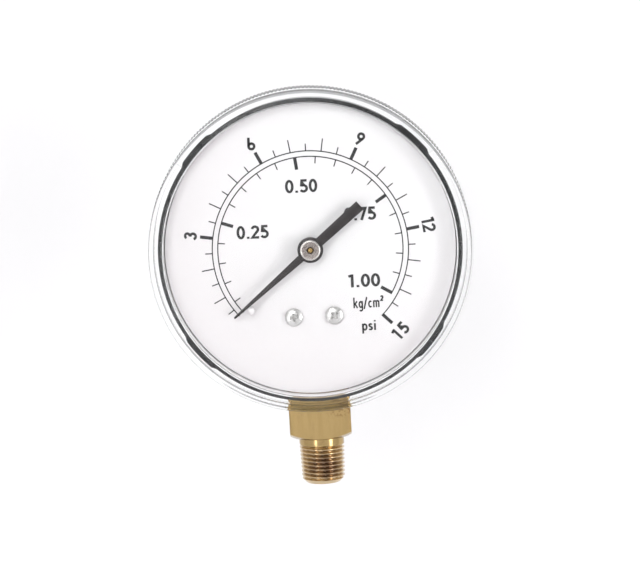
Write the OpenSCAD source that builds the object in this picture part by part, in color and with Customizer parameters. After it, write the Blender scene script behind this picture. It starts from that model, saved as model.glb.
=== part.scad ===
// Bourdon-tube pressure gauge, 63 mm dial, bottom connection.
// Upright frame: the stem axis is Z and the origin is the lower end of the inlet thread.
// The dial faces -Y. Inside front(), x is right, y is up and z is forward of the stem axis.

/* [Dial and case] */
// Height of the dial axis above the lower end of the thread
dial_axis_height = 54.4; // [53:0.1:60]
// Outside diameter of the case
case_d = 69.2; // [69:0.1:69.6]
// Thickness of the case wall
case_wall = 1.1; // [0.8:0.1:1.2]
// Distance from the stem axis forward to the front rim of the case
rim_front = 12; // [11.9:0.1:12.2]
// Distance from the stem axis back to the rear face of the case
case_back = 9.6; // [9.4:0.1:10]
// Diameter of the dial plate
dial_d = 66.6; // [62:0.1:66.8]
// Thickness of the dial plate
dial_t = 0.6; // [0.5:0.1:0.7]

/* [Lens] */
// Outside diameter of the grip flange
flange_d = 74.8; // [74:0.1:76]
// Thickness of the window
window_t = 1.8; // [1.5:0.1:2.2]
// Distance from the stem axis forward to the face of the window
lens_front = 17.1; // [16.8:0.1:18]

/* [Socket] */
// Width across the wrench flats
flats = 14.3; // [14.1:0.1:14.5]
// Major diameter of the inlet thread
thread_d = 10.2; // [10:0.05:10.3]
// Length of the inlet thread
thread_len = 7.9; // [7:0.1:9]
// Diameter of the pressure passage
inlet_d = 3.2; // [2.5:0.1:4]

/* [Movement] */
// Gear module
gear_module = 0.25; // [0.25:0.25:0.25]
// Teeth on the pinion
pinion_teeth = 10; // [10:1:10]
// Teeth on a full circle of the sector gear
sector_teeth = 100; // [100:1:100]
// Length of the lever below the sector's pivot
tail_len = 5; // [4.8:0.1:5.2]
// Turns in the hairspring
hairspring_turns = 4.5; // [3.5:0.5:5.5]

/* [Pointer] */
// Angle of the pointer at rest, clockwise from straight up
pointer_rest = -128.9; // [-130:0.1:-128]
// Angle of the pointer at full scale, clockwise from straight up
pointer_full = 135.6; // [134:0.1:136]
// Radius of the pointer's tip
pointer_tip_r = 23.4; // [20:0.1:24]
// Radius of the pointer's tail
pointer_tail_r = 15.2; // [12:0.1:16]

/* [Hidden] */
$fn = 96;
eps = 0.01;
running_gap = 0.05;

// Colours
black_enamel = [0.10, 0.10, 0.11];
clear_plastic = [0.85, 0.92, 0.95, 0.35];
brass_colour = [0.72, 0.59, 0.36];
steel_colour = [0.66, 0.66, 0.68];
bronze_colour = [0.62, 0.45, 0.27];
white_enamel = [0.94, 0.94, 0.95];

// Case and lens
case_r = case_d / 2;
case_in_r = case_r - case_wall;
sheet_t = 0.8;
panel_r = 27;
panel_back = -flats / 2 - sheet_t;
corner_r = 2;
lug_h = 0.45;
lug_w = 17;
lug_t = 1.5;
lug_angles = [45.5, 130, -130, -45.5];
case_screw_heights = [-14.5, -23.5];
case_screw_r = 1.4;
flange_r = flange_d / 2;
skirt_r = flange_r - 1;
skirt_in_r = case_r + lug_h + 0.6;
flange_front = 9.8;
flange_back = flats / 2 + 0.25;
window_edge_r = 0.9;
window_fillet = 0.3;
seat_z = rim_front + 0.3;
seat_r = case_r - 0.75;

// Dial and its fasteners
dial_back = flats / 2;
dial_front = dial_back + dial_t;
dial_screw_x = 4.65;
dial_screw_y = -15.5;
dial_screw_r = 0.93;
stop_r = 0.85;
stop_radius = 19.4;
stop_angle = -132.7;
pointer_z = 10.2;
pointer_t = 0.4;
pointer_hub_r = 2.95;
bushing_r = 1.4;
bushing_flange_r = 2.3;

// Socket
half_flats = flats / 2;
neck_r = 5.45;
neck_len = 1.9;
nose_len = 1.2;
nose_r = 3.9;
block_top = -20.6;
foot_top = -12.5;
foot_front = 0.3;
tube_entry_y = -22.3;

// Movement: pivots, levels and plates
ratio = sector_teeth / pinion_teeth;
centre_distance = gear_module * (pinion_teeth + sector_teeth) / 2;
sector_pivot = [0, -centre_distance];
sector_swing = (pointer_full - pointer_rest) / ratio;
sector_rest = -sector_swing / 2;
gear_shift = 0.4;
gear_play = 0.05;
pressure_angle = 20;
plate_t = 1;
plate_half_w = 9;
plate_top = 4;
back_plate_z = foot_front;
front_plate_z = dial_back - plate_t;
link_z = 2.3;
link_t = 0.7;
sector_z = 3.3;
sector_t = 1.2;
pinion_z = 3;
pinion_len = 1.8;
spring_z = 5.1;
spring_h = 0.5;
spring_strip = 0.16;
collet_r = 1.2;
spring_end = [-5.6, 1.2];
stud_r = 0.6;
stud_rivet_r = 0.4;
stud_pos = spring_end + [0, stud_r + 0.05];
pivot_r = 0.5;
arbor_r = 0.9;
pinion_arbor_r = 0.7;
sector_hub_r = 2;
pin_r = 0.5;
open_pivot_play = 0.22;
pillar_r = 1.25;
spigot_r = 0.7;
plate_screw_r = 0.6;
plate_screw_head_r = 1.05;
plate_screw_head_h = 0.4;
pillar_positions = [[7.5, 1.5], [-7.5, 1.5], [7.5, -10], [-7.5, -10]];
movement_screw_positions = [[5, -15], [-5, -15]];
movement_screw_r = 0.9;

// Bourdon tube and link
tube_r = 23.4;
tube_t = 2.6;
tube_w = 6;
tube_wall = 0.35;
tube_start = 252.7;
tube_end = -35;
tip_pin_pos = [14.2, -17];
tail_pin_pos = sector_pivot + tail_len * [sin(sector_rest), -cos(sector_rest)];
link_vector = tip_pin_pos - tail_pin_pos;
link_len = norm(link_vector);
link_angle = atan2(link_vector[1], link_vector[0]);

// Puts what is drawn face-on around the dial's axis into the upright frame.
module front() {
    translate([0, 0, dial_axis_height]) rotate([90, 0, 0]) children();
}

// A disc or ring between two levels in front of the stem axis.
module ring(r, z0, z1, bore = 0) {
    translate([0, 0, z0])
        difference() {
            cylinder(r = r, h = z1 - z0);
            if (bore > 0) translate([0, 0, -eps]) cylinder(r = bore, h = z1 - z0 + 2 * eps);
        }
}

// Points of an arc from angle a0 to angle a1.
function arc(centre, r, a0, a1, steps = 8) =
    [for (i = [0:steps]) centre + r * [cos(a0 + (a1 - a0) * i / steps), sin(a0 + (a1 - a0) * i / steps)]];

// A 2D sector of a ring, centred on the given clockwise angle from straight up.
module ring_sector(r0, r1, angle, width) {
    rotate(90 - angle)
        polygon(concat(arc([0, 0], r1, -width / 2, width / 2, 6), arc([0, 0], r0, width / 2, -width / 2, 6)));
}

// A pan-head screw with a cross recess: its head stands forward of z = 0.
module pan_screw(head_r, head_h, shank_r, shank_len) {
    dome = head_h * 0.35;
    slot_w = head_r * 0.28;
    difference() {
        union() {
            cylinder(r = head_r, h = head_h - dome);
            translate([0, 0, head_h - dome]) cylinder(r1 = head_r, r2 = head_r * 0.7, h = dome);
            translate([0, 0, -shank_len]) cylinder(r = shank_r, h = shank_len + eps);
        }
        for (a = [0, 90])
            rotate(a)
                translate([-head_r * 0.55, -slot_w / 2, head_h * 0.35])
                    cube([head_r * 1.1, slot_w, head_h]);
    }
}

// Involute of the pressure angle or of any other angle, in degrees.
function involute(a) = tan(a) * 180 / PI - a;

// Half of a tooth's width at radius r, as an angle.
function half_tooth(teeth, shift, r) =
    let (pitch_r = gear_module * teeth / 2)
    let (base_r = pitch_r * cos(pressure_angle))
    let (at_pitch = 90 / teeth + 2 * shift * tan(pressure_angle) * 180 / PI / teeth)
    let (play = gear_play / 2 / pitch_r * 180 / PI)
    at_pitch - play + involute(pressure_angle) - involute(acos(min(1, base_r / r)));

// Outline of teeth number first to last, where tooth 0 points straight up.
function teeth_outline(teeth, shift, first, last, flank_steps = 5) =
    let (pitch_r = gear_module * teeth / 2)
    let (root_r = pitch_r - gear_module * (1.25 - shift))
    let (tip_r = pitch_r + gear_module * (1 + min(shift, 0.3)))
    [for (tooth = [first:last], side = [-1, 1], i = [0:flank_steps])
        let (step = side < 0 ? i : flank_steps - i)
        let (r = root_r + (tip_r - root_r) * step / flank_steps)
        let (a = 90 - tooth * 360 / teeth - side * half_tooth(teeth, shift, r))
        r * [cos(a), sin(a)]];

module case_lugs() {
    for (angle = lug_angles)
        translate([0, 0, rim_front - lug_t])
            linear_extrude(lug_t) ring_sector(case_r - case_wall / 2, case_r + lug_h, angle, lug_w);
}

// Drawn steel cup with a recessed back panel, a rolled rim and four bayonet lugs.
module case() {
    profile = concat(
        [[0, panel_back], [panel_r, panel_back], [panel_r + 1, -case_back]],
        arc([case_r - corner_r, corner_r - case_back], corner_r, -90, 0),
        [[case_r, rim_front - 0.4], [case_r - 0.4, rim_front],
         [case_in_r + 0.4, rim_front], [case_in_r, rim_front - 0.4]],
        arc([case_in_r - corner_r, corner_r - case_back + sheet_t], corner_r, 0, -90),
        [[panel_r + 1.8, sheet_t - case_back], [panel_r + 0.8, -half_flats], [0, -half_flats]]
    );
    hole = flats + 0.4;
    color(black_enamel)
        front()
            difference() {
                union() {
                    rotate_extrude() polygon(profile);
                    case_lugs();
                }
                translate([-hole / 2, -case_r - 1, -hole / 2]) cube([hole, case_r - 25, hole]);
                for (y = case_screw_heights)
                    translate([0, y, panel_back - 1]) cylinder(r = case_screw_r + 0.2, h = 3);
            }
}

module case_screws() {
    color(steel_colour)
        front()
            for (y = case_screw_heights)
                translate([0, y, panel_back]) mirror([0, 0, 1]) pan_screw(2.4, 1.4, case_screw_r, 4);
}

// Twist-off window: a flat front, a deep skirt, a grip flange and four inner lugs.
module lens() {
    profile = concat(
        [[0, lens_front - window_t]],
        arc([seat_r - window_fillet, lens_front - window_t - window_fillet], window_fillet, 90, 0, 4),
        [[seat_r, seat_z], [skirt_in_r, seat_z], [skirt_in_r, flange_back],
         [flange_r, flange_back], [flange_r, flange_front], [skirt_r, flange_front + 0.6]],
        arc([skirt_r - window_edge_r, lens_front - window_edge_r], window_edge_r, 0, 90),
        [[0, lens_front]]
    );
    lug_front = rim_front - lug_t - 0.3;
    color(clear_plastic)
        front()
            union() {
                rotate_extrude() polygon(profile);
                for (angle = lug_angles)
                    translate([0, 0, lug_front - lug_t])
                        linear_extrude(lug_t) ring_sector(case_r + 0.15, skirt_in_r + 0.4, angle, lug_w);
            }
}

module dial() {
    color(white_enamel)
        front()
            difference() {
                ring(dial_d / 2, dial_back, dial_front, 2.2);
                for (side = [-1, 1])
                    translate([side * dial_screw_x, dial_screw_y, dial_back - 1])
                        cylinder(r = dial_screw_r + 0.17, h = 3);
                translate([stop_radius * sin(stop_angle), stop_radius * cos(stop_angle), dial_back - 1])
                    cylinder(r = stop_r / 2, h = 3);
            }
}

module dial_screws() {
    color(steel_colour)
        front()
            for (side = [-1, 1])
                translate([side * dial_screw_x, dial_screw_y, dial_front])
                    pan_screw(2.05, 1.2, dial_screw_r, 2);
}

// Riveted pin on the dial that the pointer rests on.
module stop_pin() {
    top = pointer_z + pointer_t + 0.2;
    color(white_enamel)
        front()
            translate([stop_radius * sin(stop_angle), stop_radius * cos(stop_angle), 0])
                union() {
                    ring(stop_r, dial_front, top);
                    ring(stop_r / 2 - 0.01, dial_back - 0.2, dial_front + eps);
                    ring(stop_r, dial_back - 0.5, dial_back);
                    translate([0, 0, top]) intersection() {
                        sphere(r = stop_r);
                        cylinder(r = stop_r, h = stop_r * 0.6);
                    }
                }
}

module socket_passages() {
    translate([0, 0, -nose_len - 1])
        cylinder(d = inlet_d, h = dial_axis_height + tube_entry_y + nose_len + 1.5);
    translate([-half_flats, 0, dial_axis_height + tube_entry_y])
        rotate([0, 90, 0]) cylinder(r = 1, h = half_flats);
}

// Pocket in the block's side that the Bourdon tube is brazed into.
module tube_pocket() {
    front()
        rotate(tube_start - 90)
            translate([-1, tube_r - tube_t / 2 - 0.1, -tube_w / 2 - 0.1])
                cube([6, tube_t + 0.2, tube_w + 0.2]);
}

// Brass socket: threaded stem, square block for the wrench, and the foot that
// carries the movement and takes the case screws.
module socket() {
    block_z = thread_len + neck_len;
    square_h = dial_axis_height + block_top - block_z;
    chamfer_r = half_flats * sqrt(2) - 0.5;
    color(brass_colour)
        difference() {
            union() {
                translate([0, 0, -nose_len]) cylinder(r1 = nose_r, r2 = thread_d / 2, h = nose_len);
                cylinder(d = thread_d, h = thread_len);
                translate([0, 0, thread_len - eps]) cylinder(r = neck_r, h = neck_len + 2 * eps);
                intersection() {
                    translate([-half_flats, -half_flats, block_z]) cube([flats, flats, square_h]);
                    union() {
                        translate([0, 0, block_z])
                            cylinder(r1 = half_flats, r2 = chamfer_r, h = 1.6);
                        translate([0, 0, block_z + 1.6 - eps]) cylinder(r = chamfer_r, h = square_h);
                    }
                }
                translate([-half_flats, -foot_front, dial_axis_height + block_top - eps])
                    cube([flats, half_flats + foot_front, foot_top - block_top]);
            }
            socket_passages();
            tube_pocket();
            front() {
                for (y = case_screw_heights)
                    translate([0, y, -half_flats - 1]) cylinder(r = case_screw_r + eps, h = 4.5);
                for (p = movement_screw_positions)
                    translate([p[0], p[1], foot_front - 3.5]) cylinder(r = movement_screw_r + eps, h = 4);
            }
        }
}

// Flattened tube bent to a C, open at the socket and closed by the tip.
module bourdon_tube() {
    color(bronze_colour)
        front()
            rotate(tube_end)
                rotate_extrude(angle = tube_start - tube_end - 2)
                    translate([tube_r, 0])
                        difference() {
                            tube_section(tube_t, tube_w);
                            tube_section(tube_t - 2 * tube_wall, tube_w - 2 * tube_wall);
                        }
}

// Flat oval: two straight sides and two round ends.
module tube_section(t, w) {
    square([t, w - t], center = true);
    for (side = [-1, 1]) translate([0, side * (w - t) / 2]) circle(d = t, $fn = 32);
}

// Cap on the tube's free end, with the tab that holds the link's pin.
module tube_tip() {
    tab_z = 0.9;
    cap_w = tube_w + 1.2;
    cap_t = tube_t + 1.2;
    color(brass_colour)
        front()
            union() {
                rotate(tube_end) translate([tube_r - cap_t / 2, -2.6, -cap_w / 2]) cube([cap_t, 2.6, cap_w]);
                translate([0, 0, tab_z]) linear_extrude(1) hull() {
                    translate(tip_pin_pos) circle(r = 1.3);
                    rotate(tube_end) translate([tube_r, -1.6]) square([2, 2], center = true);
                }
            }
}

module tip_pin() {
    color(steel_colour)
        front()
            translate([tip_pin_pos[0], tip_pin_pos[1], 0])
                union() {
                    ring(pin_r, 1.9, 3.7);
                    ring(pin_r + 0.6, 3.4, 3.8);
                }
}

// Flat link from the tube's tip to the sector's lever.
module link() {
    color(brass_colour)
        front()
            translate([tail_pin_pos[0], tail_pin_pos[1], link_z])
                rotate(link_angle)
                    linear_extrude(link_t)
                        difference() {
                            union() {
                                circle(r = 1.2);
                                translate([0, -0.7]) square([link_len, 1.4]);
                                translate([link_len, 0]) circle(r = 1.4);
                            }
                            circle(r = pin_r + running_gap);
                            translate([link_len, 0]) circle(r = pin_r + open_pivot_play);
                        }
}

module tail_pin() {
    color(steel_colour)
        front()
            translate([tail_pin_pos[0], tail_pin_pos[1], 0])
                union() {
                    ring(pin_r, 1.8, sector_z);
                    ring(pin_r + 0.4, 1.6, 2);
                }
}

// Toothed sector with two spokes and a lever below its pivot.
module sector_gear() {
    half_span = 5;
    root_r = gear_module * sector_teeth / 2 - gear_module * (1.25 + gear_shift);
    teeth = teeth_outline(sector_teeth, -gear_shift, -half_span, half_span);
    rim_angle = half_span * 360 / sector_teeth + 0.9;
    rim_w = 1.6;
    spoke_w = 1.7;
    spoke_angle = 11;
    color(brass_colour)
        front()
            translate([sector_pivot[0], sector_pivot[1], sector_z])
                rotate(sector_rest)
                    difference() {
                        union() {
                            linear_extrude(sector_t)
                                polygon(concat(teeth, arc([0, 0], root_r - rim_w, 90 - rim_angle,
                                                          90 + rim_angle, 12)));
                            for (a = [-spoke_angle, spoke_angle])
                                rotate(a) translate([-spoke_w / 2, 0, 0])
                                    cube([spoke_w, root_r - rim_w / 2, sector_t]);
                            cylinder(r = sector_hub_r, h = sector_t);
                            translate([-1, -tail_len, 0]) cube([2, tail_len, sector_t]);
                            translate([0, -tail_len, 0]) cylinder(r = 1.1, h = sector_t);
                        }
                        translate([0, 0, -1]) cylinder(r = arbor_r, h = sector_t + 2);
                    }
}

module sector_arbor() {
    back = back_plate_z + 0.1;
    shoulder_back = back_plate_z + plate_t + 0.1;
    shoulder_front = front_plate_z - 0.1;
    color(steel_colour)
        front()
            translate([sector_pivot[0], sector_pivot[1], 0])
                union() {
                    ring(pivot_r, back, dial_back - 0.1);
                    ring(arbor_r, shoulder_back, shoulder_front);
                }
}

// Pinion cut on its own arbor: the arbor runs through the dial to the pointer.
module pinion() {
    shaft_front = 11.5;
    color(brass_colour)
        front()
            union() {
                translate([0, 0, pinion_z])
                    linear_extrude(pinion_len)
                        rotate(180 / pinion_teeth - 90 - sector_rest * ratio)
                            rotate(-90) polygon(teeth_outline(pinion_teeth, gear_shift, 0, pinion_teeth - 1));
                ring(pivot_r, back_plate_z + 0.1, shaft_front);
                ring(pinion_arbor_r, back_plate_z + plate_t + 0.1, pinion_z + eps);
                ring(pinion_arbor_r, pinion_z + pinion_len - eps, front_plate_z - 0.1);
            }
}

// Flat spiral from the collet out to the stud.
module hairspring() {
    inner_r = collet_r + spring_strip;
    outer_r = norm(spring_end);
    end_angle = atan2(spring_end[1], spring_end[0]);
    steps = hairspring_turns * 24;
    side = [for (i = [0:steps])
        let (a = end_angle - 360 * hairspring_turns * (1 - i / steps))
        let (r = inner_r + (outer_r - inner_r) * i / steps)
        [r, a]];
    outer = [for (p = side) (p[0] + spring_strip / 2) * [cos(p[1]), sin(p[1])]];
    inner = [for (p = side) (p[0] - spring_strip / 2) * [cos(p[1]), sin(p[1])]];
    color(bronze_colour)
        front()
            translate([0, 0, spring_z])
                linear_extrude(spring_h)
                    polygon(concat(outer, [for (i = [steps:-1:0]) inner[i]]));
}

module hairspring_collet() {
    color(brass_colour) front() ring(collet_r, 4.95, 5.85, pinion_arbor_r + eps);
}

// Stud that holds the spring's outer end, riveted in the front plate.
module hairspring_stud() {
    color(brass_colour)
        front()
            translate([stud_pos[0], stud_pos[1], 0])
                union() {
                    ring(stud_r, 4.9, front_plate_z);
                    ring(stud_rivet_r, front_plate_z - eps, dial_back - 0.1);
                }
}

// Plate between the pillars and the dial, with the tapped lower corners that the dial screws enter.
module front_plate() {
    plate_bottom = -17.8;
    color(brass_colour)
        front()
            difference() {
                translate([0, 0, front_plate_z])
                    linear_extrude(plate_t)
                        difference() {
                            plate_outline(plate_bottom);
                            circle(r = pivot_r + running_gap);
                            translate(sector_pivot) circle(r = pivot_r + running_gap);
                            translate(stud_pos) circle(r = stud_rivet_r + eps);
                            for (p = pillar_positions) translate(p) circle(r = plate_screw_r + eps);
                            for (side = [-1, 1])
                                translate([side * dial_screw_x, dial_screw_y]) circle(r = dial_screw_r + eps);
                        }
                for (p = pillar_positions)
                    translate([p[0], p[1], dial_back - plate_screw_head_h - 0.1])
                        cylinder(r = plate_screw_head_r + 0.05, h = 1);
            }
}

module plate_outline(bottom) {
    corner = 1.5;
    hull()
        for (side = [-1, 1], y = [bottom + corner, plate_top - corner])
            translate([side * (plate_half_w - corner), y]) circle(r = corner, $fn = 32);
}

module back_plate() {
    color(brass_colour)
        front()
            translate([0, 0, back_plate_z])
                linear_extrude(plate_t)
                    difference() {
                        plate_outline(-17.3);
                        circle(r = pivot_r + running_gap);
                        translate(sector_pivot) circle(r = pivot_r + running_gap);
                        for (p = pillar_positions) translate(p) circle(r = spigot_r + eps);
                        for (p = movement_screw_positions) translate(p) circle(r = movement_screw_r + 0.15);
                    }
}

module pillars() {
    color(brass_colour)
        front()
            for (p = pillar_positions)
                translate([p[0], p[1], 0])
                    difference() {
                        union() {
                            ring(pillar_r, back_plate_z + plate_t, front_plate_z);
                            ring(spigot_r, back_plate_z + 0.1, back_plate_z + plate_t + eps);
                        }
                        translate([0, 0, front_plate_z - 2]) cylinder(r = plate_screw_r + eps, h = 3);
                    }
}

// Low-head screws, sunk into the front plate, that hold it to the pillars.
module plate_screws() {
    color(steel_colour)
        front()
            for (p = pillar_positions)
                translate([p[0], p[1], 0])
                    union() {
                        ring(plate_screw_r, front_plate_z - 1.9, dial_back - plate_screw_head_h);
                        ring(plate_screw_head_r, dial_back - plate_screw_head_h - 0.1, dial_back - 0.1);
                    }
}

module movement_screws() {
    color(steel_colour)
        front()
            for (p = movement_screw_positions)
                translate([p[0], p[1], back_plate_z + plate_t]) pan_screw(1.6, 1, movement_screw_r, 4);
}

// Needle, hub disc and flat tail in one sheet.
module pointer() {
    needle_half_w = 0.98;
    tip_half_w = 0.25;
    tail_start_half_w = 1.06;
    tail_half_w = 1.25;
    color(black_enamel)
        front()
            translate([0, 0, pointer_z])
                rotate(-pointer_rest)
                    difference() {
                        union() {
                            cylinder(r = pointer_hub_r, h = pointer_t);
                            linear_extrude(pointer_t)
                                polygon([[-needle_half_w, -1], [-tip_half_w, pointer_tip_r],
                                         [tip_half_w, pointer_tip_r], [needle_half_w, -1]]);
                            linear_extrude(pointer_t)
                                polygon([[-tail_start_half_w, 1], [tail_start_half_w, 1],
                                         [tail_half_w, -pointer_tail_r], [-tail_half_w, -pointer_tail_r]]);
                        }
                        translate([0, 0, -1]) cylinder(r = bushing_r + eps, h = pointer_t + 2);
                    }
}

// Turned bushing pressed on the pinion's shaft, with a raised rim around its recessed face.
module pointer_bushing() {
    face = 11.7;
    color(steel_colour)
        front()
            difference() {
                union() {
                    ring(bushing_r, dial_front + 0.55, pointer_z + pointer_t + eps);
                    ring(bushing_flange_r, pointer_z + pointer_t, face);
                    ring(bushing_flange_r, face - eps, face + 0.3, bushing_flange_r - 0.4);
                }
                translate([0, 0, 8]) cylinder(r = pivot_r + eps, h = 5);
            }
}

case();
case_screws();
lens();
dial();
dial_screws();
stop_pin();
socket();
bourdon_tube();
tube_tip();
tip_pin();
link();
tail_pin();
sector_gear();
sector_arbor();
pinion();
hairspring();
hairspring_collet();
hairspring_stud();
front_plate();
back_plate();
pillars();
plate_screws();
movement_screws();
pointer();
pointer_bushing();
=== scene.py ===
"""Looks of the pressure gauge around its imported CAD: shaped pieces, dial print, materials, light and camera.

Sizes here are millimetres. Face-on places are (x, y, w) about the dial's axis: x to the right, y up and w
forward of the stem's axis, as a reader of the dial sees them. Angles on the dial turn clockwise from the top.
"""

import math

import bmesh
import bpy
from mathutils import Matrix, Vector


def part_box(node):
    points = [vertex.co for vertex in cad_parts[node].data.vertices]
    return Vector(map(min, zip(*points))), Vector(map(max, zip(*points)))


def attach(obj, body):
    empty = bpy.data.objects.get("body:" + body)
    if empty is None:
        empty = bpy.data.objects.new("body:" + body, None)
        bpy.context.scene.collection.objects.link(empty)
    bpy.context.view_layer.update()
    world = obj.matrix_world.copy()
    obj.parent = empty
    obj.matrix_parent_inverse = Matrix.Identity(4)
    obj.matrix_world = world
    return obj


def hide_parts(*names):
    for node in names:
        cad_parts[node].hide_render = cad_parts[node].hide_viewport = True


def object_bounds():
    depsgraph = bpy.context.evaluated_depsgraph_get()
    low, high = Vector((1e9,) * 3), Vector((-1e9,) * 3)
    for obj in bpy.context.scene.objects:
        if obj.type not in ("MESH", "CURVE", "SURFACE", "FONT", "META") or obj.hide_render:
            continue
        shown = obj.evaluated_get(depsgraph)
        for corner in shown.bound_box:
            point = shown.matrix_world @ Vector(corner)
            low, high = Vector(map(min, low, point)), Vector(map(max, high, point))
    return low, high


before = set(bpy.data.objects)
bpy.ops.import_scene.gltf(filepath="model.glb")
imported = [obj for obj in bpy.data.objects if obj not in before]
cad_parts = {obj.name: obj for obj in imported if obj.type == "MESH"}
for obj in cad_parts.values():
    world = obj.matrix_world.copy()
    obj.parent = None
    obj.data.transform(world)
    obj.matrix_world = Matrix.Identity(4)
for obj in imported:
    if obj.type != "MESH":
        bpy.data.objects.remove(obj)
cad_low, cad_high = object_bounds()

MM = 0.001
BODY = "gauge_body"


# ---------------------------------------------------------------- sizes taken from the frame

def middle(node):
    low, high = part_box(node)
    return (low + high) / 2 / MM


def half_width(node):
    low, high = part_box(node)
    return (high.x - low.x) / 2 / MM


def front_of(node):
    return -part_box(node)[0].y / MM


def back_of(node):
    return -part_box(node)[1].y / MM


AXIS_Z = middle("dial").z
DIAL_FRONT = front_of("dial")
CASE_R = half_width("case")
CASE_WALL = 1.1
CASE_IN_R = CASE_R - CASE_WALL
RIM_FRONT = front_of("case")
CASE_BACK = back_of("case")
PANEL_BACK = CASE_BACK + 1.65
LENS_R = half_width("lens")
LENS_FRONT = front_of("lens")
LENS_BACK = back_of("lens")
HALF_FLATS = half_width("socket")
STEM_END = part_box("socket")[0].z / MM
LUG_ANGLES = (45.5, 130.0, -130.0, -45.5)
LUG_HALF_WIDTH = 8.5
LUG_HEIGHT = 0.45
LUG_THICKNESS = 1.5
LENS_GAP = 0.3


# ---------------------------------------------------------------- geometry helpers

def face_on(x, y, w):
    """A face-on place in millimetres as a point of the row's frame in metres."""
    return Vector((x, -w, AXIS_Z + y)) * MM


def on_dial(r, angle, w):
    a = math.radians(angle)
    return face_on(r * math.sin(a), r * math.cos(a), w)


def on_stem(r, angle, z):
    a = math.radians(angle)
    return Vector((r * math.sin(a), -r * math.cos(a), z)) * MM


def arc(x, y, r, start, end, steps=8):
    """Points of an arc about (x, y), with angles anticlockwise from +x."""
    turn = [math.radians(start + (end - start) * i / steps) for i in range(steps + 1)]
    return [(x + r * math.cos(a), y + r * math.sin(a)) for a in turn]


def guarded(profile, near=0.05):
    """The profile with points close to both ends of its long sides, which keeps them flat when shaded."""
    points = []
    for here, there in zip(profile, profile[1:]):
        points.append(here)
        way = Vector(there) - Vector(here)
        if way.length > 6 * near:
            step = way.normalized() * near
            points += [tuple(Vector(here) + step), tuple(Vector(there) - step)]
    return points + [profile[-1]]


def turned(profile, steps, at=on_dial, shape=None, closed=True):
    """A mesh of the profile's (radius, height) points turned about an axis.

    shape(radius, height, angle) may change a point's radius, for teeth and lugs.
    """
    bm = bmesh.new()
    rows = []
    for r, h in profile:
        if r == 0:
            rows.append([bm.verts.new(at(0, 0, h))] * steps)
            continue
        angles = [360 * k / steps for k in range(steps)]
        radii = [shape(r, h, a) if shape else r for a in angles]
        rows.append([bm.verts.new(at(q, a, h)) for q, a in zip(radii, angles)])
    pairs = list(zip(rows, rows[1:]))
    if closed:
        pairs.append((rows[-1], rows[0]))
    for low, high in pairs:
        for k in range(steps):
            ring = (low[k], low[(k + 1) % steps], high[(k + 1) % steps], high[k])
            corners = [v for i, v in enumerate(ring) if v not in ring[:i]]
            if len(corners) > 2:
                bm.faces.new(corners)
    bmesh.ops.recalc_face_normals(bm, faces=bm.faces)
    return bm


def slab(outline, low, high, at=face_on):
    """A closed plate between two levels with the given outline."""
    bm = bmesh.new()
    bottom = [bm.verts.new(at(x, y, low)) for x, y in outline]
    top = [bm.verts.new(at(x, y, high)) for x, y in outline]
    count = len(outline)
    bm.faces.new(bottom)
    bm.faces.new(reversed(top))
    for k in range(count):
        bm.faces.new((bottom[k], top[k], top[(k + 1) % count], bottom[(k + 1) % count]))
    bmesh.ops.recalc_face_normals(bm, faces=bm.faces)
    return bm


def joined(parts):
    """One mesh of several closed ones."""
    whole = bmesh.new()
    for part in parts:
        mesh = bpy.data.meshes.new("part")
        part.to_mesh(mesh)
        part.free()
        whole.from_mesh(mesh)
        bpy.data.meshes.remove(mesh)
    return whole


def thing(name, bm):
    mesh = bpy.data.meshes.new(name)
    bm.to_mesh(mesh)
    bm.free()
    made = bpy.data.objects.new(name, mesh)
    bpy.context.scene.collection.objects.link(made)
    return made


def carved(target, bm, operation="DIFFERENCE"):
    """Applies a boolean of the target with the given mesh."""
    cutter = thing("cutter", bm)
    step = target.modifiers.new("carve", "BOOLEAN")
    step.operation = operation
    step.solver = "EXACT"
    step.object = cutter
    applied(target)
    bpy.data.objects.remove(cutter)


def applied(target):
    """Puts the target's modifiers into its mesh."""
    evaluated = target.evaluated_get(bpy.context.evaluated_depsgraph_get())
    mesh = bpy.data.meshes.new_from_object(evaluated)
    target.modifiers.clear()
    target.data = mesh


def rounded(target, width, segments=2, angle=35):
    """Bevels the target's sharp edges."""
    step = target.modifiers.new("round", "BEVEL")
    step.width = width * MM
    step.segments = segments
    step.limit_method = "ANGLE"
    step.angle_limit = math.radians(angle)
    step.harden_normals = False
    applied(target)


def finished(target, material, body=BODY, replaces=(), sharp=32):
    """Gives a shaped piece its shading, material, body and the CAD nodes that it stands for."""
    target.data.materials.clear()
    target.data.materials.append(material)
    target.data.shade_smooth()
    target.data.set_sharp_from_angle(angle=math.radians(sharp))
    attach(target, body)
    if replaces:
        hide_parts(*replaces)
    return target


# ---------------------------------------------------------------- material helpers

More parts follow.
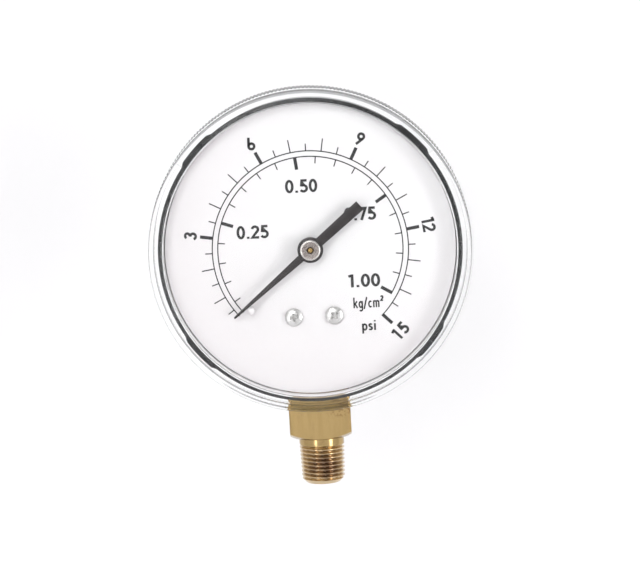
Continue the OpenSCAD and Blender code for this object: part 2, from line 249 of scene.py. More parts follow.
class Shader:
    """A Principled material with short ways to add procedural detail."""

    def __init__(self, name, color, roughness, **sockets):
        self.material = bpy.data.materials.new(name)
        self.material.use_nodes = True
        self.tree = self.material.node_tree
        self.bsdf = self.tree.nodes["Principled BSDF"]
        self.set("Base Color", (*color, 1))
        self.set("Roughness", roughness)
        for socket, value in sockets.items():
            self.set(socket.replace("_", " ").title().replace("Ior", "IOR"), value)
        self.place = self.node("ShaderNodeTexCoord").outputs["Object"]

    def set(self, socket, value):
        self.bsdf.inputs[socket].default_value = value

    def node(self, kind, **values):
        made = self.tree.nodes.new(kind)
        for key, value in values.items():
            setattr(made, key, value)
        return made

    def link(self, source, target):
        self.tree.links.new(source, target)

    def mapped(self, scale):
        """The place in the row's frame, stretched per axis."""
        mapping = self.node("ShaderNodeMapping")
        mapping.inputs["Scale"].default_value = scale
        self.link(self.place, mapping.inputs["Vector"])
        return mapping.outputs["Vector"]

    def noise(self, scale, detail=4, roughness=0.55, stretch=(1, 1, 1)):
        """Noise from 0 to 1 with the given number of patches per metre."""
        texture = self.node("ShaderNodeTexNoise")
        texture.inputs["Scale"].default_value = scale
        texture.inputs["Detail"].default_value = detail
        texture.inputs["Roughness"].default_value = roughness
        self.link(self.mapped(stretch), texture.inputs["Vector"])
        return texture.outputs["Fac"]

    def remap(self, source, low, high, to_low=0.0, to_high=1.0):
        made = self.node("ShaderNodeMapRange")
        made.interpolation_type = "SMOOTHSTEP"
        for socket, value in zip(("From Min", "From Max", "To Min", "To Max"), (low, high, to_low, to_high)):
            made.inputs[socket].default_value = value
        self.link(source, made.inputs["Value"])
        return made.outputs["Result"]

    def math(self, operation, first, second):
        made = self.node("ShaderNodeMath", operation=operation)
        for index, value in enumerate((first, second)):
            if isinstance(value, (int, float)):
                made.inputs[index].default_value = value
            else:
                self.link(value, made.inputs[index])
        return made.outputs["Value"]

    def mix(self, share, first, second):
        """A colour between two, each a colour or a socket."""
        made = self.node("ShaderNodeMix", data_type="RGBA")
        self.link(share, made.inputs["Factor"])
        for name, value in (("A", first), ("B", second)):
            socket = next(s for s in made.inputs if s.name == name and s.type == "RGBA")
            if isinstance(value, tuple):
                socket.default_value = (*value, 1)
            else:
                self.link(value, socket)
        return next(s for s in made.outputs if s.type == "RGBA")

    def color(self, source):
        self.link(source, self.bsdf.inputs["Base Color"])

    def rough(self, source, low, high):
        self.link(self.remap(source, 0.3, 0.7, low, high), self.bsdf.inputs["Roughness"])

    def bump(self, source, depth):
        """Relief of the given depth in millimetres."""
        made = self.node("ShaderNodeBump")
        made.inputs["Strength"].default_value = 1.0
        made.inputs["Distance"].default_value = depth * MM
        self.link(source, made.inputs["Height"])
        self.link(made.outputs["Normal"], self.bsdf.inputs["Normal"])

    def distance_from(self, point, stretch=(1, 1, 1)):
        """Distance in millimetres from a point of the row's frame, with each axis weighted."""
        away = self.node("ShaderNodeVectorMath", operation="SUBTRACT")
        self.link(self.place, away.inputs[0])
        away.inputs[1].default_value = point
        scaled = self.node("ShaderNodeVectorMath", operation="MULTIPLY")
        self.link(away.outputs["Vector"], scaled.inputs[0])
        scaled.inputs[1].default_value = [s / MM for s in stretch]
        length = self.node("ShaderNodeVectorMath", operation="LENGTH")
        self.link(scaled.outputs["Vector"], length.inputs[0])
        return length.outputs["Value"]


DIAL_CENTRE = face_on(0, 0, DIAL_FRONT)


def case_enamel():
    """Gloss black enamel, with a painted reflection of the white dial: a pale colour on the wall inside the
    rim.
    """
    m = Shader("case_enamel", (0.016, 0.016, 0.018), 0.22, coat_weight=0.3, coat_roughness=0.12)
    peel = m.noise(2200, detail=2)
    wear = m.noise(160, detail=6)
    black = m.mix(m.remap(wear, 0.35, 0.75), (0.014, 0.014, 0.015), (0.02, 0.02, 0.021))
    from_axis = m.distance_from(DIAL_CENTRE, (1, 0, 1))
    behind_rim = m.distance_from(face_on(0, 0, RIM_FRONT), (0, 1, 0))
    # painted reflection: the wall inside the rim turns pale, standing in for the white dial reflected in the
    # black enamel
    wall = m.remap(from_axis, CASE_IN_R + 0.05, CASE_IN_R + 0.12, 1, 0)
    inside = m.remap(behind_rim, 17.5, 18.5, 1, 0)
    m.color(m.mix(m.math("MULTIPLY", wall, inside), black, (0.92, 0.91, 0.92)))
    m.rough(m.noise(420, detail=2), 0.2, 0.26)
    m.bump(peel, 0.003)
    return m.material


def lens_plastic():
    """Clear polycarbonate that lets lamps through to the dial."""
    m = Shader("lens_plastic", (0.985, 0.99, 0.99), 0.0, transmission_weight=1.0, ior=1.18)
    m.rough(m.noise(300, detail=6), 0.0, 0.035)
    m.bump(m.noise(900, detail=2), 0.0015)
    through = m.node("ShaderNodeBsdfTransparent")
    through.inputs["Color"].default_value = (0.97, 0.975, 0.975, 1)
    path = m.node("ShaderNodeLightPath")
    both = m.node("ShaderNodeMixShader")
    m.link(path.outputs["Is Shadow Ray"], both.inputs["Fac"])
    m.link(m.bsdf.outputs["BSDF"], both.inputs[1])
    m.link(through.outputs["BSDF"], both.inputs[2])
    m.link(both.outputs["Shader"], m.tree.nodes["Material Output"].inputs["Surface"])
    return m.material


def dial_enamel():
    """White enamel, with painted shade towards the lower left."""
    m = Shader("dial_enamel", (0.68, 0.67, 0.68), 0.4, coat_weight=0.15, coat_roughness=0.3)
    cloud = m.noise(60, detail=4)
    tint = m.mix(m.remap(cloud, 0.3, 0.7), (0.66, 0.645, 0.655), (0.675, 0.665, 0.67))
    # painted shade: the white turns greyer and pinker with distance from a point up and right of the centre
    painted_shade = m.remap(m.distance_from(face_on(12, 14, DIAL_FRONT)), 14, 48)
    m.color(m.mix(painted_shade, tint, (0.625, 0.598, 0.609)))
    m.rough(m.noise(900, detail=3), 0.36, 0.46)
    m.bump(m.noise(3500, detail=2), 0.003)
    return m.material


def dial_ink():
    m = Shader("dial_ink", (0.012, 0.011, 0.012), 0.45)
    m.color(m.mix(m.remap(m.noise(1500, detail=3), 0.3, 0.7), (0.008, 0.008, 0.009), (0.02, 0.018, 0.02)))
    m.rough(m.noise(2500, detail=3), 0.38, 0.55)
    return m.material


def pointer_enamel():
    m = Shader("pointer_enamel", (0.015, 0.013, 0.012), 0.42)
    m.color(m.mix(m.remap(m.noise(400, detail=5), 0.3, 0.7), (0.008, 0.005, 0.0055), (0.017, 0.012, 0.0125)))
    m.rough(m.noise(1800, detail=3), 0.3, 0.46)
    m.bump(m.noise(5000, detail=3), 0.006)
    return m.material


def turned_metal(name, color, dark, roughness, centre=DIAL_CENTRE, stretch=(1, 0, 1), pitch=9.0):
    """Metal with fine lathe rings about an axis, a slight uneven tarnish, a painted highlight at the rim and
    darker near the bore.
    """
    m = Shader(name, color, roughness, metallic=1.0)
    blotch = m.noise(700, detail=6)
    face = m.mix(m.remap(blotch, 0.3, 0.75), color, dark)
    out = m.distance_from(centre, stretch)
    # painted highlight: a lighter colour on the rim, from 1.85 mm out from the axis
    face = m.mix(m.remap(out, 1.85, 1.95), face, (0.62, 0.59, 0.57))
    # darker ring around the bore, within 0.9 mm of the axis
    m.color(m.mix(m.remap(out, 0.7, 0.9, 1, 0), face, (0.16, 0.12, 0.09)))
    rings = m.math("SINE", m.math("MULTIPLY", out, 2 * math.pi * pitch), 0)
    scratch = m.noise(5200, detail=4)
    m.rough(scratch, roughness * 0.8, roughness * 1.3)
    m.bump(m.math("ADD", m.math("MULTIPLY", rings, 0.5), scratch), 0.004)
    return m.material


def screw_steel():
    """Bright plated steel with light scratches."""
    m = Shader("screw_steel", (0.7, 0.69, 0.69), 0.28, metallic=1.0)
    m.color(m.mix(m.remap(m.noise(900, detail=6), 0.3, 0.75), (0.66, 0.65, 0.645), (0.52, 0.51, 0.5)))
    m.rough(m.noise(2500, detail=5), 0.26, 0.38)
    m.bump(m.noise(4200, detail=4, stretch=(1, 1, 0.4)), 0.005)
    return m.material


def socket_brass():
    """Machined brass: vertical tool marks on the flats, brown tarnish, a painted sheen on the thread and
    painted shade in its valleys.
    """
    m = Shader("socket_brass", (0.74, 0.52, 0.25), 0.36, metallic=1.0)
    streaks = m.noise(900, detail=6, stretch=(1, 1, 0.12))
    grain = m.noise(3000, detail=4)
    base = m.mix(m.remap(streaks, 0.35, 0.7), (0.44, 0.312, 0.138), (0.405, 0.282, 0.12))
    blotches = m.remap(m.noise(480, detail=6, roughness=0.6), 0.56, 0.68)
    base = m.mix(m.math("MULTIPLY", blotches, 0.4), base, (0.33, 0.22, 0.11))
    # painted sheen: the brass turns lighter along the thread
    painted_thread_sheen = m.remap(m.distance_from(Vector((0, 0, 3)) * MM, (0, 0, 1)), 4.4, 5.0, 0.85, 0.0)
    base = m.mix(painted_thread_sheen, base, (0.6, 0.47, 0.3))
    near = m.remap(m.distance_from(Vector((0.5, -5.2, 3.1)) * MM, (0.6, 0.5, 0.8)), 1.0, 3.4, 1.0, 0.0)
    patches = m.remap(m.noise(330, detail=4, roughness=0.5), 0.3, 0.6, 0.15, 0.8)
    base = m.mix(m.math("MULTIPLY", near, patches), base, (0.25, 0.165, 0.11))
    from_axis = m.distance_from(Vector((0, 0, 0)), (1, 1, 0))
    below_neck = m.remap(m.distance_from(Vector((0, 0, 4)) * MM, (0, 0, 1)), 2.9, 3.9, 1.0, 0.0)
    # painted shade: the thread's valleys, 4.5 to 4.9 mm from the axis, turn dark brown below the neck
    painted_valley_shade = m.math("MULTIPLY", m.remap(from_axis, 4.5, 4.9, 0.4, 0.0), below_neck)
    base = m.mix(painted_valley_shade, base, (0.22, 0.14, 0.1))
    stain = m.remap(m.distance_from(Vector((4.9, -7, 17.6)) * MM, (0.7, 1, 0.9)), 0.8, 3.2, 1.0, 0.0)
    specks = m.remap(m.noise(1400, detail=3), 0.5, 0.6)
    m.color(m.mix(m.math("MULTIPLY", stain, specks), base, (0.2, 0.11, 0.05)))
    m.rough(grain, 0.14, 0.24)
    m.bump(m.math("ADD", streaks, m.math("MULTIPLY", grain, 0.4)), 0.008)
    return m.material


def plain_metal(name, light, dark, roughness):
    """Sheet and wire metal of the inner parts."""
    m = Shader(name, light, roughness, metallic=1.0)
    m.color(m.mix(m.remap(m.noise(450, detail=6), 0.3, 0.72), light, dark))
    m.rough(m.noise(2200, detail=4), roughness * 0.75, roughness * 1.35)
    m.bump(m.noise(2600, detail=5, stretch=(1, 1, 0.3)), 0.006)
    return m.material


ENAMEL = case_enamel()
CLEAR = lens_plastic()
WHITE = dial_enamel()
INK = dial_ink()
BLACK = pointer_enamel()
NICKEL = turned_metal("bushing_nickel", (0.46, 0.41, 0.39), (0.32, 0.28, 0.26), 0.26)
STEEL = screw_steel()
BRASS = socket_brass()
MOVEMENT_BRASS = plain_metal("movement_brass", (0.62, 0.43, 0.18), (0.45, 0.29, 0.11), 0.32)
BRONZE = plain_metal("tube_bronze", (0.5, 0.28, 0.13), (0.36, 0.19, 0.08), 0.36)
PIN_STEEL = plain_metal("pin_steel", (0.62, 0.61, 0.6), (0.45, 0.44, 0.43), 0.22)


# ---------------------------------------------------------------- case and lens

def lug_rise(angle):
    """1 on a bayonet lug, 0 between the lugs, with short ramps at a lug's ends."""
    ramp = 2.0
    away = min(abs((angle - lug + 180) % 360 - 180) for lug in LUG_ANGLES)
    return max(0.0, min(1.0, (LUG_HALF_WIDTH - away) / ramp))


def make_case():
    """Drawn steel cup: recessed back panel, rolled rim with four lugs and a hole for the wrench block."""
    sheet = 0.8
    corner = 2.0
    panel_r = 27.0
    bead = 0.55
    bend = 0.6
    panel_front = PANEL_BACK + sheet
    lug_back = RIM_FRONT - LUG_THICKNESS
    outer = [(0, PANEL_BACK), (panel_r - 0.4, PANEL_BACK)]
    outer += arc(panel_r - 0.4, PANEL_BACK - bend, bend, 90, 20, 4)
    outer += arc(panel_r + 1.6, CASE_BACK + bend, bend, 200, 270, 4)
    outer += arc(CASE_R - corner, CASE_BACK + corner, corner, -90, 0, 10)
    outer += [(CASE_R, lug_back - 0.15), (CASE_R, lug_back), (CASE_R, RIM_FRONT - bead)]
    outer += arc(CASE_R - bead, RIM_FRONT - bead, bead, 15, 90, 6)
    inner = arc(CASE_IN_R + bead, RIM_FRONT - bead, bead, 90, 180, 7)
    inner += [(CASE_IN_R, CASE_BACK + sheet + corner)]
    inner += arc(CASE_IN_R - corner, CASE_BACK + sheet + corner, corner, 0, -90, 8)[1:]
    inner += [(panel_r + 1.9, CASE_BACK + sheet), (panel_r + 0.7, panel_front), (0, panel_front)]

    def with_lugs(r, h, angle):
        on_lug = r > CASE_R - bead / 2 and h > lug_back - 0.01
        return r + LUG_HEIGHT * lug_rise(angle) if on_lug else r

    case = thing("case_shell", turned(guarded(outer + inner), 720, shape=with_lugs, closed=False))
    half = HALF_FLATS + 0.2
    bottom, top = -CASE_R - 2, -CASE_R + 9
    hole = [(-half, bottom), (half, bottom), (half, top), (-half, top)]
    carved(case, slab(hole, -half, half))
    return finished(case, ENAMEL, replaces=["case"], sharp=30)


def make_lens():
    """Twist-off window with a serrated grip flange and four lugs that lock behind the case's."""
    teeth = 260
    columns_per_tooth = 4
    tooth_depth = 0.24
    chamfer = 0.5
    window = 1.8
    edge_r = 0.9
    skirt_r = LENS_R - 1
    skirt_in_r = CASE_R + LUG_HEIGHT + 0.6
    seat_r = CASE_R - 1.2
    seat = RIM_FRONT + LENS_GAP
    inner_fillet = 0.3
    back_edge, root = 0.15, 0.2
    flange_front = LENS_BACK + 2.4
    back_face = LENS_FRONT - window
    profile = [(0, back_face)]
    profile += arc(seat_r - inner_fillet, back_face - inner_fillet, inner_fillet, 90, 0, 6)
    profile += [(seat_r, seat), (skirt_in_r, seat), (skirt_in_r, LENS_BACK)]
    profile += arc(LENS_R - back_edge, LENS_BACK + back_edge, back_edge, -90, 0, 4)
    profile += [(LENS_R, flange_front - chamfer), (LENS_R - chamfer, flange_front)]
    profile += arc(skirt_r + root, flange_front + root, root, 270, 180, 4)
    profile += arc(skirt_r - edge_r, LENS_FRONT - edge_r, edge_r, 0, 90, 12)
    profile += [(0, LENS_FRONT)]

    def serrated(r, h, angle):
        if r < LENS_R - chamfer - 0.01 or h > flange_front:
            return r
        phase = angle * teeth / 360 % 1
        return r - tooth_depth * (1 - math.cos(2 * math.pi * phase)) / 2

    shell = turned(guarded(profile), teeth * columns_per_tooth, shape=serrated, closed=False)
    lug_front = RIM_FRONT - LUG_THICKNESS - LENS_GAP
    lugs = []
    for angle in LUG_ANGLES:
        start, end = 90 - angle + LUG_HALF_WIDTH, 90 - angle - LUG_HALF_WIDTH
        outline = arc(0, 0, CASE_R + 0.15, start, end, 10) + arc(0, 0, skirt_in_r + 0.2, end, start, 10)
        lugs.append(slab(outline, lug_front - LUG_THICKNESS, lug_front))
    lens = thing("lens_window", joined([shell] + lugs))
    return finished(lens, CLEAR, body="lens_ring", replaces=["lens"], sharp=35)


make_case()
make_lens()


# ---------------------------------------------------------------- dial print

PRINT_BACK = DIAL_FRONT - 0.003
PRINT_FRONT = DIAL_FRONT + 0.012
DIAL_TURN = 0.44
SCALE_START = -135.0 + DIAL_TURN
SCALE_SWEEP = 270.0
FULL_PSI = 15.0
PSI_PER_KG = 14.2233
ARC_START = -131.0 + DIAL_TURN
THIN = 0.27
THICK = 0.76


def psi_angle(value):
    return SCALE_START + SCALE_SWEEP * value / FULL_PSI


def on_print(x, y):
    """A place on the print, which is turned a little against the case."""
    a = math.radians(DIAL_TURN)
    return x * math.cos(a) + y * math.sin(a), y * math.cos(a) - x * math.sin(a)


def kg_angle(value):
    return psi_angle(value * PSI_PER_KG)


def printed(outline):
    return slab(outline, PRINT_BACK, PRINT_FRONT)


def ring_line(r, width, start, end):
    """An arc line on the dial from one clockwise angle to another."""
    steps = int(abs(end - start))
    outer = arc(0, 0, r + width / 2, 90 - start, 90 - end, steps)
    inner = arc(0, 0, r - width / 2, 90 - end, 90 - start, steps)
    return printed(outer + inner)


def tick(angle, r0, r1, width):
    a = math.radians(angle)
    out = Vector((math.sin(a), math.cos(a)))
    side = Vector((out.y, -out.x)) * width / 2
    return printed([tuple(out * r + side * s) for r, s in ((r0, -1), (r1, -1), (r1, 1), (r0, 1))])


def psi_scale():
    """Outer scale: a line with a tick at every half, longer at every whole, thick at every third."""
    line_r, half_r, whole_r = 22.46, 24.1, 25.4
    end = psi_angle(FULL_PSI) + math.degrees(THICK / 2 / line_r)
    marks = [ring_line(line_r, THIN, ARC_START, end)]
    for step in range(1, int(2 * FULL_PSI) + 1):
        major = step % 6 == 0
        top = whole_r if step % 2 == 0 else half_r
        marks.append(tick(psi_angle(step / 2), line_r, top, THICK if major else THIN))
    return marks


def kg_scale():
    """Inner scale: a line with a tick at every twentieth, long and thick at every quarter."""
    line_r, short_r, long_r = 21.2, 19.6, 18.4
    end = kg_angle(1) + math.degrees(THICK / 2 / line_r)
    marks = [ring_line(line_r, THIN, ARC_START, end)]
    for step in range(1, 21):
        major = step % 5 == 0
        end_r = long_r if major else short_r
        marks.append(tick(kg_angle(step / 20), end_r, line_r, THICK if major else THIN))
    return marks


def digit_six():
    bowl = arc(0.3, 0.3, 0.215, 0, 360, 28)[:-1]
    return [(bowl, True), ([(0.43, 1.0), (0.118, 0.42)], False)]


def turned_over(strokes, width):
    return [([(width - x, 1 - y) for x, y in points], loop) for points, loop in strokes]


def glyphs():
    """Strokes of each character in a box one unit high: (width, [(centre line, is a loop)])."""
    two_top = arc(0.3, 0.7, 0.215, 170, -38, 14)
    small_two = [(0.02 + x * 0.5, 0.62 + y * 0.5) for x, y in two_top + [(0.06, 0.085), (0.56, 0.085)]]
    upper_bowl = arc(0.27, 0.735, 0.18, 165, -90, 12)
    lower_bowl = arc(0.27, 0.3, 0.215, 100, -160, 16)
    five = [(0.54, 0.915), (0.17, 0.915), (0.13, 0.56)] + arc(0.28, 0.32, 0.235, 105, -150, 14)
    return {
        "0": (0.6, [(oval(0.3, 0.5, 0.215, 0.415, steps=28), True)]),
        "1": (0.42, [([(0.27, 0), (0.27, 1.0)], False), ([(0.02, 0.84), (0.27, 0.92)], False)]),
        "2": (0.6, [(two_top + [(0.08, 0.085), (0.58, 0.085)], False)]),
        "3": (0.58, [(upper_bowl, False), (lower_bowl, False)]),
        "5": (0.6, [(five, False)]),
        "6": (0.6, digit_six()),
        "7": (0.56, [([(0.02, 0.915), (0.5, 0.915), (0.2, 0)], False)]),
        "9": (0.6, turned_over(digit_six(), 0.6)),
        ".": (0.28, [([(0.14, 0), (0.14, 0.17)], False)]),
        "/": (0.4, [([(0.02, -0.12), (0.36, 1.05)], False)]),
        "k": (0.5, [([(0.1, 0), (0.1, 1.05)], False), ([(0.44, 0.68), (0.14, 0.32)], False),
                    ([(0.2, 0.42), (0.47, 0)], False)]),
        "g": (0.52, [(oval(0.26, 0.34, 0.17, 0.27), True),
                     ([(0.43, 0.68), (0.43, -0.1)] + arc(0.27, -0.12, 0.16, 0, -150, 10), False)]),
        "c": (0.46, [(oval(0.26, 0.34, 0.17, 0.27, 50, 310), False)]),
        "m": (0.78, [([(0.1, 0), (0.1, 0.68)], False), (arch(0.1, 0.38), False), (arch(0.38, 0.66), False)]),
        "p": (0.52, [([(0.1, -0.3), (0.1, 0.68)], False), (oval(0.27, 0.34, 0.17, 0.27), True)]),
        "s": (0.42, [(arc(0.21, 0.49, 0.12, 20, 250, 10) + arc(0.21, 0.2, 0.13, 70, -160, 12), False)]),
        "i": (0.24, [([(0.12, 0), (0.12, 0.68)], False), ([(0.12, 0.84), (0.12, 0.98)], False)]),
        "^": (0.4, [(small_two, False)]),
    }


def oval(x, y, rx, ry, start=0, end=360, steps=24):
    count = steps if end - start == 360 else steps + 1
    turn = [math.radians(start + (end - start) * k / steps) for k in range(count)]
    return [(x + rx * math.cos(a), y + ry * math.sin(a)) for a in turn]


def arch(left, right):
    """One hump of an m."""
    r = (right - left) / 2
    return arc((left + right) / 2, 0.63 - r, r, 180, 0, 10) + [(right, 0)]


def ribbon(points, loop, width):
    """Left and right edges of a stroke with mitred corners."""
    count = len(points)
    left, right = [], []
    for k, point in enumerate(points):
        here = Vector(point)
        before = Vector(points[k - 1]) if loop or k else None
        after = Vector(points[(k + 1) % count]) if loop or k < count - 1 else None
        ways = []
        if before is not None and (here - before).length > 1e-6:
            ways.append((here - before).normalized())
        if after is not None and (after - here).length > 1e-6:
            ways.append((after - here).normalized())
        way = sum(ways, Vector((0, 0))).normalized()
        side = Vector((-way.y, way.x))
        spread = max(0.5, abs(side.dot(Vector((-ways[0].y, ways[0].x)))))
        left.append(here + side * width / 2 / spread)
        right.append(here - side * width / 2 / spread)
    return left, right


GLYPHS = glyphs()


def stroke_plates(points, loop, width, put):
    """Closed plates of one stroke: a ring for a loop, else one plate."""
    left, right = ribbon(points, loop, width)
    if not loop:
        return [printed([put(p) for p in left + right[::-1]])]
    bm = bmesh.new()
    count = len(points)
    levels = (PRINT_BACK, PRINT_FRONT)
    rows = [[bm.verts.new(face_on(*put(p), w)) for p in side] for side in (left, right) for w in levels]
    for first, second in ((0, 1), (1, 3), (3, 2), (2, 0)):
        for k in range(count):
            n = (k + 1) % count
            bm.faces.new((rows[first][k], rows[first][n], rows[second][n], rows[second][k]))
    bmesh.ops.recalc_face_normals(bm, faces=bm.faces)
    return [bm]


def label(text, x, y, height, width=None, stroke=0.5, turn=0.0, spacing=0.08):
    """Print of a text centred on (x, y), squeezed to a width and turned clockwise."""
    advance = [GLYPHS[c][0] for c in text]
    total = sum(advance) + spacing * (len(text) - 1)
    squeeze = width / (total * height) if width else 1.0
    a = math.radians(-turn)
    plates = []
    start = -total / 2
    for c, step in zip(text, advance):
        def put(p, start=start):
            u = (p[0] + start) * height * squeeze
            v = (p[1] - 0.5) * height
            return (x + u * math.cos(a) - v * math.sin(a), y + u * math.sin(a) + v * math.cos(a))

        for points, loop in GLYPHS[c][1]:
            plates += stroke_plates(points, loop, stroke / height, put)
        start += step + spacing
    return plates


def print_piece(name, plates):
    made = thing(name, joined(plates))
    return finished(made, INK)


def numeral(value, r, turn, spacing=0.08):
    """A number of the outer scale at its angle, r from the axis."""
    at = on_dial(r, psi_angle(value), 0) / MM
    return label(str(value), at.x, at.z - AXIS_Z, height=2.95, stroke=0.6, turn=turn, spacing=spacing)


def make_print():
    """The dial's print, in one piece per scale, row of numbers or group of units."""
    print_piece("print_psi_scale", psi_scale())
    print_piece("print_kg_scale", kg_scale())
    numerals = []
    for value in (3, 6, 9, 12):
        numerals += numeral(value, r=27.6, turn=psi_angle(value))
    numerals += numeral(15, r=28.0, turn=psi_angle(15) - 180, spacing=0.22)
    print_piece("print_numerals", numerals)
    places = {"0.25": (-13.0, 4.5), "0.50": (-1.4, 14.5), "0.75": (11.7, 7.55), "1.00": (11.95, -7.8)}
    numbers = []
    for text, place in places.items():
        numbers += label(text, *on_print(*place), height=3.0, width=7.3, stroke=0.58, turn=DIAL_TURN)
    print_piece("print_kg_numbers", numbers)
    units = label("kg/cm^", *on_print(12.75, -12.95), height=2.35, width=7.1, stroke=0.4, turn=DIAL_TURN)
    units += label("psi", *on_print(12.6, -18.2), height=2.35, width=3.3, stroke=0.42, turn=DIAL_TURN)
    print_piece("print_units", units)


make_print()


# ---------------------------------------------------------------- pointer, screws and stop pin

def make_pointer():
    """Needle, hub disc and square flat tail, turned to its rest angle."""
    hub_r, tip_r, tail_r = 2.95, 23.4, 15.2
    needle, tip, tail, tail_end = 0.98, 0.25, 1.06, 1.25
    back = back_of("pointer")
    front = front_of("pointer")
    rest = math.degrees(math.atan2(*pointer_tip()))
    up = math.degrees(math.asin(needle * 0.9 / hub_r))
    down = math.degrees(math.asin(tail * 1.02 / hub_r))
    outline = [(-tip, tip_r - 0.12), (-tip + 0.12, tip_r), (tip - 0.12, tip_r), (tip, tip_r - 0.12)]
    outline += arc(0, 0, hub_r, 90 - up, -90 + down, 40)
    outline += [(tail_end, -tail_r), (-tail_end, -tail_r)]
    outline += arc(0, 0, hub_r, 270 - down, 90 + up, 40)
    a = math.radians(-rest)
    outline = [(x * math.cos(a) - y * math.sin(a), x * math.sin(a) + y * math.cos(a)) for x, y in outline]
    pointer = thing("pointer_plate", slab(outline, back, front))
    hole_r = 1.41
    hole = [(0, back - 1), (hole_r, back - 1), (hole_r, front + 1), (0, front + 1)]
    carved(pointer, turned(hole, 48, closed=False))
    rounded(pointer, 0.06)
    return finished(pointer, BLACK, body="pointer_set", replaces=["pointer"])


def pointer_tip():
    """Direction of the CAD pointer's tip: its corner that is furthest from the axis."""
    points = [v.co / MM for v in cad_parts["pointer"].data.vertices]
    far = max(points, key=lambda p: math.hypot(p.x, p.z - AXIS_Z))
    ends = [p for p in points if math.hypot(p.x, p.z - AXIS_Z) > math.hypot(far.x, far.z - AXIS_Z) - 0.05]
    return sum(p.x for p in ends) / len(ends), sum(p.z - AXIS_Z for p in ends) / len(ends)


def make_bushing():
    """Turned bushing: raised rim, recessed face and a countersunk bore for the shaft."""
    back = back_of("pointer_bushing")
    front = front_of("pointer_bushing")
    flange = front_of("pointer")
    bore, barrel_r, rim_r = 0.52, 1.4, 2.3
    profile = [(bore, back), (barrel_r, back), (barrel_r, flange)]
    profile += [(rim_r - 0.1, flange), (rim_r, flange + 0.1), (rim_r, front - 0.3)]
    profile += arc(2.1, front - 0.25, 0.2, 15, 75, 4) + arc(2.05, front - 0.12, 0.1, 80, 160, 4)
    profile += [(1.93, front - 0.3), (1.85, front - 0.36), (bore + 0.3, front - 0.38)]
    profile += [(bore + 0.16, front - 0.5), (bore, front - 0.95)]
    bushing = thing("bushing_hub", turned(guarded(profile), 96))
    return finished(bushing, NICKEL, body="pointer_set", replaces=["pointer_bushing"])


def cross_cutter(size, depth, x, y, w, turn, forward):
    """A tapered cross that stands on the head's face and reaches down into it."""
    wing, tip_wing, half = size, size * 0.6, size * 0.22
    parts = []
    for quarter in (0, 90):
        a = math.radians(turn + quarter)
        bm = bmesh.new()
        corners = []
        for reach, level, thick in ((tip_wing, -depth, half * 0.7), (wing * 1.1, 0.3, half * 1.15)):
            for u, v in ((-reach, -thick), (reach, -thick), (reach, thick), (-reach, thick)):
                px = x + u * math.cos(a) - v * math.sin(a)
                py = y + u * math.sin(a) + v * math.cos(a)
                corners.append(bm.verts.new(face_on(px, py, w + forward * level)))
        for ring in ((3, 2, 1, 0), (4, 5, 6, 7), (0, 1, 5, 4), (1, 2, 6, 5), (2, 3, 7, 6), (3, 0, 4, 7)):
            bm.faces.new([corners[i] for i in ring])
        bmesh.ops.recalc_face_normals(bm, faces=bm.faces)
        parts.append(bm)
    return parts


def pan_screw(x, y, seat, head_r, head_h, shank_r, shank_len, turn, forward=1):
    """Pan-head screw about (x, y): forward is 1 if its head faces the reader, -1 if it faces back."""
    edge = 0.3
    crown = head_h * 0.3
    profile = [(0, -shank_len), (shank_r * 0.8, -shank_len), (shank_r, 0.2 - shank_len), (shank_r, 0)]
    profile += [(head_r - 0.2, 0), (head_r, 0.2)]
    profile += arc(head_r - edge, head_h - crown - edge, edge, 0, 60, 5)
    profile += [(head_r * 0.62, head_h - crown * 0.35), (head_r * 0.3, head_h - crown * 0.05), (0, head_h)]

    def at(r, angle, h):
        a = math.radians(angle)
        return face_on(x + r * math.sin(a), y + r * math.cos(a), seat + forward * h)

    screw = thing("screw", turned(profile, 64, at=at, closed=False))
    for cutter in cross_cutter(head_r * 0.5, head_h * 0.6, x, y, seat + forward * head_h, turn, forward):
        carved(screw, cutter)
    rounded(screw, 0.03, segments=1, angle=50)
    return screw


def merged(name, things):
    """Several objects as one."""
    parts = []
    for made in things:
        bm = bmesh.new()
        bm.from_mesh(made.data)
        parts.append(bm)
        bpy.data.objects.remove(made)
    return thing(name, joined(parts))


def make_screws():
    """Two screws that hold the dial, and two in the panel of the case's back."""
    head_r = 2.05
    dial_x = half_width("dial_screws") - head_r
    dial_y = middle("dial_screws").z - AXIS_Z
    head_h = front_of("dial_screws") - DIAL_FRONT
    pair = [pan_screw(side * dial_x, dial_y, DIAL_FRONT, head_r, head_h,
                      shank_r=0.93, shank_len=2.0, turn=turn)
            for side, turn in ((-1, 8), (1, 40))]
    finished(merged("dial_pan_screws", pair), STEEL, replaces=["dial_screws"])
    low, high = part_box("case_screws")
    head_r = half_width("case_screws")
    pair = [pan_screw(0, y / MM - AXIS_Z, PANEL_BACK, head_r, head_h=1.4,
                      shank_r=1.4, shank_len=4.0, turn=turn, forward=-1)
            for y, turn in ((high.z - head_r * MM, 20), (low.z + head_r * MM, 63))]
    finished(merged("case_pan_screws", pair), STEEL, replaces=["case_screws"])


def make_stop_pin():
    """White-painted domed pin, riveted through the dial."""
    x = middle("stop_pin").x
    y = middle("stop_pin").z - AXIS_Z
    r = half_width("stop_pin")
    top = front_of("stop_pin")
    back = back_of("stop_pin")
    dial_back = back_of("dial")
    dome = r * 0.7
    profile = [(0, back), (r - 0.1, back), (r, back + 0.1), (r, dial_back), (r / 2, dial_back)]
    profile += [(r / 2, DIAL_FRONT), (r, DIAL_FRONT), (r, top - dome)]
    profile += [(r * math.cos(t), top - dome + dome * math.sin(t)) for t in (0.3, 0.6, 0.9, 1.2)]
    profile += [(0, top)]

    def at(radius, angle, h):
        a = math.radians(angle)
        return face_on(x + radius * math.sin(a), y + radius * math.cos(a), h)

    pin = thing("stop_post", turned(profile, 40, at=at, closed=False))
    return finished(pin, WHITE, replaces=["stop_pin"])


